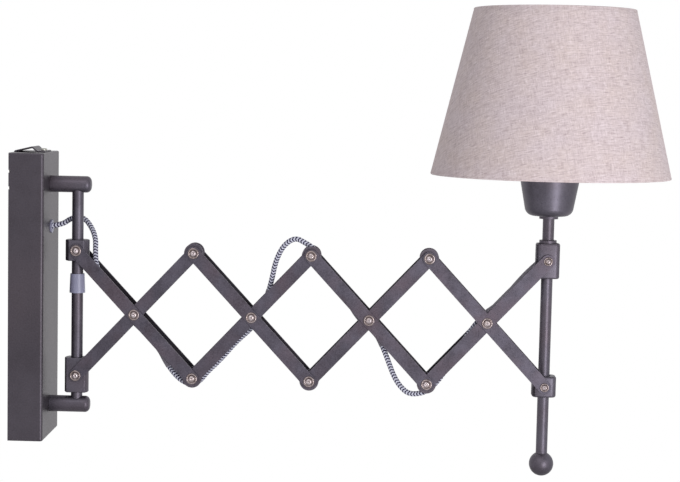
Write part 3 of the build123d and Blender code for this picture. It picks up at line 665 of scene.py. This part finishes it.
def braided_tube(name, stations, sleeved):
    """A grid rolled round the line, closed at both ends, with its yarns in relief and sleeves."""
    rows = len(stations) - 1
    bm = bmesh.new()
    bmesh.ops.create_grid(bm, x_segments=BRAID_SIDES, y_segments=rows, size=1)

    def on_cable(vertex):
        """The share round the cable and the number of the station, for a corner of the grid."""
        return (vertex.co.x + 1) / 2, round((vertex.co.y + 1) / 2 * rows)

    uv = bm.loops.layers.uv.new(ROUND_AND_ALONG)
    for face in bm.faces:
        face.material_index = int(all(sleeved[on_cable(vertex)[1]] for vertex in face.verts))
        for loop in face.loops:
            share, i = on_cable(loop.vert)
            loop[uv].uv = (share, stations[i].travelled)
    for vertex in bm.verts:
        share, i = on_cable(vertex)
        point, across, upward, travelled = stations[i]
        radius = CABLE_R - BRAID_RELIEF * (1 - yarn_height(share, travelled))
        if sleeved[i]:
            radius = CABLE_R + SLEEVE_SHEET
        out = across * cos(2 * pi * share) + upward * sin(2 * pi * share)
        vertex.co = point + radius * out
    merge(bm)
    close_holes(bm)
    return new_piece(name, bm, [braid, sleeve_rubber])


def declare_cable(node):
    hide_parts(node)


corners = [corner for piece_corners in CABLE_CORNERS.values() for corner in piece_corners]
cable_stations = stations_on([CABLE_START, *corners, CABLE_END])


def after_corner(number):
    """The station in the middle of the run that follows the corner with this number."""
    return round(number / len(corners) * (len(cable_stations) - 1))


sleeved = [
    any(after_corner(first) <= i <= after_corner(last) for first, last in SLEEVES)
    for i in range(len(cable_stations))
]
passed = 0
for name, piece_corners in CABLE_CORNERS.items():
    start = after_corner(passed)
    passed += len(piece_corners)
    stop = after_corner(passed) + 1
    piece = braided_tube(f"braided_{name}", cable_stations[start:stop], sleeved[start:stop])
    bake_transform(piece)
    declare_cable(f"cable_{name}")

post_stations = stations_on(POST_RUN)
piece = braided_tube("braided_in_post", post_stations, [False] * len(post_stations))
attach(piece, "post")
declare_cable("cable_in_post")

# ---------------------------------------------------------------- lampshade
SHADE_LOW_R, SHADE_TOP_R = 0.124, 0.083
SHADE_LOW_Z, SHADE_TOP_Z = 0.135, 0.307
SHADE_SIDES = 144
CLOTH = 0.0005
CLOTH_ROWS = 24
CLOTH_EDGE = 0.0001
HEM_ROUND = 0.0009
LINING = 0.0004
LINING_INSET = 0.00056
LINING_SHORT = 0.001  # below the cloth's upper edge and above its lower one
ROLL_R = 0.0012
ROLL_INSET = 0.0010
ROLL_SIDES = 10
SEAM_PROUD = 0.00045
SEAM_SHORT = 0.002
SEAM_WIDTH = 0.012
SEAM_TURN = radians(128)  # from the arm's direction to the rear left
SEAM_STEPS = 6
GRAIN_TURN = radians(43)  # from the front towards the right, where the threads lie level
shade_lean = atan2(SHADE_LOW_R - SHADE_TOP_R, SHADE_TOP_Z - SHADE_LOW_Z)
shade_centre = Vector((POST_X, 0, 0))


def shade_r(z):
    """The outer radius of the shade at a height."""
    share = (z - SHADE_LOW_Z) / (SHADE_TOP_Z - SHADE_LOW_Z)
    return SHADE_LOW_R + share * (SHADE_TOP_R - SHADE_LOW_R)


def grain_angle(place):
    """How far a place on the shade is turned from where the threads lie level."""
    return atan2(place.x, -place.y) - GRAIN_TURN


def lay_flat(bm):
    """UVs in metres on the flat cut, whose threads stay straight while it is rolled to a cone."""
    uv = bm.loops.layers.uv.new(FLAT_CUT)
    for face in bm.faces:
        face_angle = grain_angle(face.calc_center_median() - shade_centre)
        for loop in face.loops:
            place = loop.vert.co - shade_centre
            angle = grain_angle(place)
            angle += 2 * pi * round((face_angle - angle) / (2 * pi))
            reach = shade_r(place.z) / sin(shade_lean)
            flat_angle = angle * sin(shade_lean)
            loop[uv].uv = (reach * sin(flat_angle), -reach * cos(flat_angle))


def cloth_profile(short, outside, thickness, edge):
    """A thin leaning wall as the profile of a spin.

    It ends short of the shade's two ends, its outer face lies outside the shade's cone by
    outside, and its outer edges are taken off by edge.
    """
    low_z, top_z = SHADE_LOW_Z + short, SHADE_TOP_Z - short
    outer = []
    for i in range(CLOTH_ROWS + 1):
        z = low_z + (top_z - low_z) * i / CLOTH_ROWS
        outer.append((shade_r(z) + outside, z))
    inner = [(r - thickness, z) for r, z in reversed(outer)]
    outer[0] = (outer[0][0] - edge, outer[0][1])
    outer.insert(1, (shade_r(low_z + edge) + outside, low_z + edge))
    outer[-1] = (outer[-1][0] - edge, outer[-1][1])
    outer.insert(-1, (shade_r(top_z - edge) + outside, top_z - edge))
    return outer + inner


def rolled_hem(z):
    """The round profile of a hem that is rolled over the wire at a height."""
    angles = [2 * pi * i / ROLL_SIDES for i in range(ROLL_SIDES)]
    return [(shade_r(z) - ROLL_INSET + ROLL_R * cos(a), z + ROLL_R * sin(a)) for a in angles]


def shade_piece(name, profile, material, start=0.0, angle=2 * pi, steps=SHADE_SIDES):
    """A piece of the shade, spun round the post by the angle from its start."""
    bm = bmesh.new()
    place = Matrix.Translation(shade_centre) @ Matrix.Rotation(start, 4, "Z")
    turn(bm, profile, place, steps, angle)
    if angle < 2 * pi:
        close_holes(bm)
    if material is linen:
        lay_flat(bm)
    piece = new_piece(name, bm, [material], "post")
    return piece


shade = shade_piece("shade_linen", cloth_profile(0.0, 0.0, CLOTH, HEM_ROUND), linen)
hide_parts("shade_cover")
lining = shade_piece(
    "shade_lining", cloth_profile(LINING_SHORT, -LINING_INSET, LINING, CLOTH_EDGE), lining_white
)
hems = [
    shade_piece("shade_lower_hem", rolled_hem(SHADE_LOW_Z + ROLL_R), linen),
    shade_piece("shade_upper_hem", rolled_hem(SHADE_TOP_Z - ROLL_R), linen),
]
seam = shade_piece(
    "shade_seam", cloth_profile(SEAM_SHORT, SEAM_PROUD, CLOTH, CLOTH_EDGE), linen,
    SEAM_TURN, SEAM_WIDTH / SHADE_LOW_R, SEAM_STEPS,
)

# ---------------------------------------------------------------- pivot hardware
FALLING_FACE_Y = 0.0118  # the outer faces of the arm's bars
RISING_FACE_Y = 0.0099
PLAY = 0.0001
EYELET_R = 0.0058
DOME_R = 0.0033
SCREW_R = 0.0019
NUT_R = 0.0040
NUT_HEIGHT = 0.0032
NUT_ROUND = 0.0003
POST_SCREW_SCALE = 0.8
HARDWARE_SIDES = 40
SCREW_END_SIDES = 24
# Profiles for a spin: radius, and height over the bar.
EYELET_PROFILE = [  # a rolled washer, whose rounded rim stands round a groove
    (0.0021, 0.0), (EYELET_R - 0.0002, 0.0), (EYELET_R, 0.0002), (EYELET_R, 0.0006),
    (EYELET_R - 0.0003, 0.0010), (EYELET_R - 0.0009, 0.00125), (EYELET_R - 0.0015, 0.0011),
    (EYELET_R - 0.0018, 0.0007), (0.0036, 0.0005), (0.0021, 0.0005),
]
DOME_PROFILE = [  # a domed head with a small hollow in it
    (0.0, 0.0005), (DOME_R - 0.0002, 0.0005), (DOME_R, 0.0007), (DOME_R, 0.0011),
    (DOME_R - 0.0002, 0.0015), (DOME_R - 0.0007, 0.0020), (DOME_R - 0.0014, 0.0024),
    (DOME_R - 0.0019, 0.0025), (0.0012, 0.0024), (0.0011, 0.0018), (0.0, 0.0017),
]
SCREW_END_PROFILE = [
    (0.0, NUT_HEIGHT - 0.0005), (SCREW_R, NUT_HEIGHT - 0.0005), (SCREW_R, NUT_HEIGHT + 0.0001),
    (0.0014, NUT_HEIGHT + 0.0003), (0.0, NUT_HEIGHT + 0.0003),
]


def beside(x, z, side, y):
    """A place at a distance y from the arm's middle, whose Z points away from the arm."""
    return Matrix.Translation((x, side * y, z)) @ Matrix.Rotation(-side * pi / 2, 4, "X")


def add_screw(bm, x, z, side, y):
    """A rolled washer on the bar's face with a domed head in it, smaller on the post's collars."""
    place = beside(x, z, side, y)
    if x == pivot_x[CELLS]:
        place = place @ Matrix.Diagonal((POST_SCREW_SCALE, POST_SCREW_SCALE, 1, 1))
    turn(bm, EYELET_PROFILE, place, HARDWARE_SIDES)
    washer = set(bm.faces)
    turn(bm, DOME_PROFILE, place, HARDWARE_SIDES, closed=False)
    for face in set(bm.faces) - washer:
        face.material_index = 1


def add_nut(bm, x, z, side, y):
    """A hexagon nut with softened corners, and the rounded end of the screw in it."""
    place = beside(x, z, side, y)
    made = bmesh.ops.create_circle(bm, cap_ends=True, segments=6, radius=NUT_R, matrix=place)
    low = made["verts"]
    grown = bmesh.ops.extrude_face_region(bm, geom=[low[0].link_faces[0]], use_keep_orig=True)
    raised = [v for v in grown["geom"] if isinstance(v, bmesh.types.BMVert)]
    bmesh.ops.translate(bm, verts=raised, vec=(0, side * NUT_HEIGHT, 0))
    soften(bm, list({e for v in low + raised for e in v.link_edges}), NUT_ROUND, segments=2)
    turn(bm, SCREW_END_PROFILE, place, SCREW_END_SIDES, closed=False)


# For each CAD node: its pivots, the height of the faces that they hold, and whether it has nuts.
PIVOT_ROWS = {
    "lower_left_pivot_screws": ([(pivot_x[0], LOWER_PIVOT_Z)], RISING_FACE_Y + PLAY, False),
    "upper_left_pivot_screws": ([(pivot_x[0], upper_z)], FALLING_FACE_Y + PLAY, False),
    "lower_right_pivot_screws": ([(pivot_x[CELLS], LOWER_PIVOT_Z)], FALLING_FACE_Y + PLAY, False),
    "upper_right_pivot_screws": ([(pivot_x[CELLS], upper_z)], RISING_FACE_Y + PLAY, False),
}
for number in range(1, CELLS + 1):
    places = [((pivot_x[number - 1] + pivot_x[number]) / 2, middle_z)]
    if number > 1:
        places.append((pivot_x[number - 1], upper_z))
    if number < CELLS:
        places.append((pivot_x[number], LOWER_PIVOT_Z))
    PIVOT_ROWS[f"falling_link_{number}_pivots"] = (places, FALLING_FACE_Y, True)

body_names = {empty.name: body for body, empty in frame["bodies"].items()}


def replace_node(name, bm, materials, node_name):
    """A piece in the place of a CAD node, on the same body."""
    piece = new_piece(name, bm, materials, body_names[nodes[node_name].parent.name])
    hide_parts(node_name)


for node_name, (places, face_y, has_nuts) in PIVOT_ROWS.items():
    bm = bmesh.new()
    for x, z in places:
        add_screw(bm, x, z, FRONT, face_y)
        if has_nuts:
            add_nut(bm, x, z, REAR, face_y)
        else:
            add_screw(bm, x, z, REAR, face_y)
    replace_node(f"domed_{node_name}", bm, [worn_nickel, dome_nickel], node_name)

# ---------------------------------------------------------------- collars on the post
COLLAR_CORNER = 0.0055
COLLAR_RIM = 0.0020
BORE_R = 0.00615
BORE_SIDES = 48


def rounded_collar(name, node_name):
    """A bored block with well rounded upright corners, in the box of the CAD collar."""
    low, high = (Vector(corner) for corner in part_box(node_name))
    size = high - low
    bm = bmesh.new()
    add_block(bm, (low + high) / 2, size)
    upright = [e for e in bm.edges if abs(e.verts[0].co.z - e.verts[1].co.z) > size.z / 2]
    soften(bm, upright, COLLAR_CORNER, segments=6)
    bm.normal_update()
    rims = [e for f in bm.faces if abs(f.normal.z) > 0.9 for e in f.edges]
    soften(bm, rims, COLLAR_RIM, segments=4)
    bm.normal_update()
    bore = []
    for z in (low.z, high.z):
        end = next(f for f in bm.faces if all(abs(v.co.z - z) < 1e-6 for v in f.verts))
        outline = list(end.edges)
        bmesh.ops.delete(bm, geom=[end], context="FACES_ONLY")
        made = bmesh.ops.create_circle(
            bm, segments=BORE_SIDES, radius=BORE_R, matrix=Matrix.Translation((POST_X, 0, z))
        )
        circle = list({e for v in made["verts"] for e in v.link_edges})
        bmesh.ops.bridge_loops(bm, edges=outline + circle)
        bore += circle
    bmesh.ops.bridge_loops(bm, edges=bore)
    replace_node(name, bm, [aged_metal], node_name)


rounded_collar("rounded_upper_collar", "upper_right_collar")
rounded_collar("rounded_lower_collar", "lower_right_collar")

# ---------------------------------------------------------------- behind the box's side notches
LIP_SIZE = (0.0064, 0.0006, 0.034)
LIP_X, LIP_Y, LIP_Z = 0.0036, 0.0400, 0.1215
LIP_ROUND = 0.0002

# The lips carry painted shade, so that the notches show dark.
bm = bmesh.new()
for side in (FRONT, REAR):
    add_block(bm, (LIP_X, side * LIP_Y, LIP_Z), LIP_SIZE)
soften(bm, bm.edges[:], LIP_ROUND, segments=1)
lips = new_piece("bracket_lips", bm, [notch_shade_metal], "wall_unit", smooth=False)

# ---------------------------------------------------------------- finishes of the CAD nodes
FINISHES = {
    "aged_metal": aged_metal,
    "zinc_steel": zinc,
    "wire_steel": bright_wire,
    "pivot_brass": worn_nickel,
    "contact_brass": contact_brass,
    "ceramic": ceramic,
    "clear_plastic": clear_plastic,
    "black_plastic": black_plastic,
    "linen": linen,
    "braid": braid,
}

for name, node in nodes.items():
    finish = FINISHES[node.material_slots[0].material.name.split(".")[0]]
    if "link" in name and name.endswith("front"):
        finish = link_front
    if "link" in name and name.endswith("rear"):
        finish = link_rear
    if name in ("wall_cover", "wall_bracket"):
        finish = box_metal
    for slot in node.material_slots:
        slot.material = finish

# ---------------------------------------------------------------- studio
WHITE = (1.0, 1.0, 1.0, 1.0)
WORLD_LIGHT = 0.55
FLOOR_PLACE = (0.34, 0, -0.5)
FLOOR_R = 1.1
FLOOR_SIDES = 96
FADE_FROM, FADE_TO = 0.35, 1.0  # distances on the floor between which it turns white
LAMP_TARGET = Vector((0.36, 0.0, 0.0))
# Each lamp: its place, its width and height, and its power in watts.
LAMPS = {
    "strip right": ((1.20, -1.50, -0.30), 0.25, 1.2, 19.0),
    "side right": ((2.20, -0.60, 0.40), 0.8, 1.1, 2.0),
    "high front": ((-0.3, -1.6, 1.5), 1.2, 0.8, 7.0),
}


def seen_directly(tree):
    """1 for the camera, and for what shows in metal and through glass; 0 for light on the lamp."""
    path = tree.nodes.new("ShaderNodeLightPath").outputs
    seen = calc(tree, "MAXIMUM", path["Is Camera Ray"], path["Is Glossy Ray"])
    return calc(tree, "MAXIMUM", seen, path["Is Transmission Ray"])


world = bpy.data.worlds.new("studio")
bpy.context.scene.world = world
world.use_nodes = True
tree = world.node_tree
strength = spread(tree, seen_directly(tree), 0.0, 1.0, WORLD_LIGHT, 1.0)
fill(tree, tree.nodes["Background"], {"Color": WHITE, "Strength": strength})

material, tree, shader = new_material("pale floor")
place = object_place(tree)
speckle = noise(tree, place, 30.0, detail=3.0)
fill(tree, shader, {
    "Base Color": mix(tree, speckle, linear(242, 242, 242), linear(249, 249, 249)),
    "Roughness": 0.8,
})
glow = add(tree, "ShaderNodeEmission", {"Color": WHITE, "Strength": 1.0}).outputs[0]
away = add(tree, "ShaderNodeVectorMath", {0: place}, operation="LENGTH").outputs["Value"]
fade = calc(tree, "MULTIPLY", spread(tree, away, FADE_FROM, FADE_TO), seen_directly(tree))
blended = add(tree, "ShaderNodeMixShader", {0: fade, 1: shader.outputs[0], 2: glow})
fill(tree, tree.nodes["Material Output"], {"Surface": blended.outputs[0]})

bm = bmesh.new()
bmesh.ops.create_circle(bm, cap_ends=True, segments=FLOOR_SIDES, radius=FLOOR_R)
floor = mesh_object("floor", bm, [material])
floor.location = FLOOR_PLACE

for name, (place, width, height, power) in LAMPS.items():
    lamp = bpy.data.lights.new(name, "AREA")
    lamp.shape = "RECTANGLE"
    lamp.size = width
    lamp.size_y = height
    lamp.energy = power
    holder = place_object(name, lamp)
    holder.location = place
    holder.rotation_euler = (LAMP_TARGET - Vector(place)).to_track_quat("-Z", "Y").to_euler()

bpy.context.scene.view_settings.view_transform = "Standard"
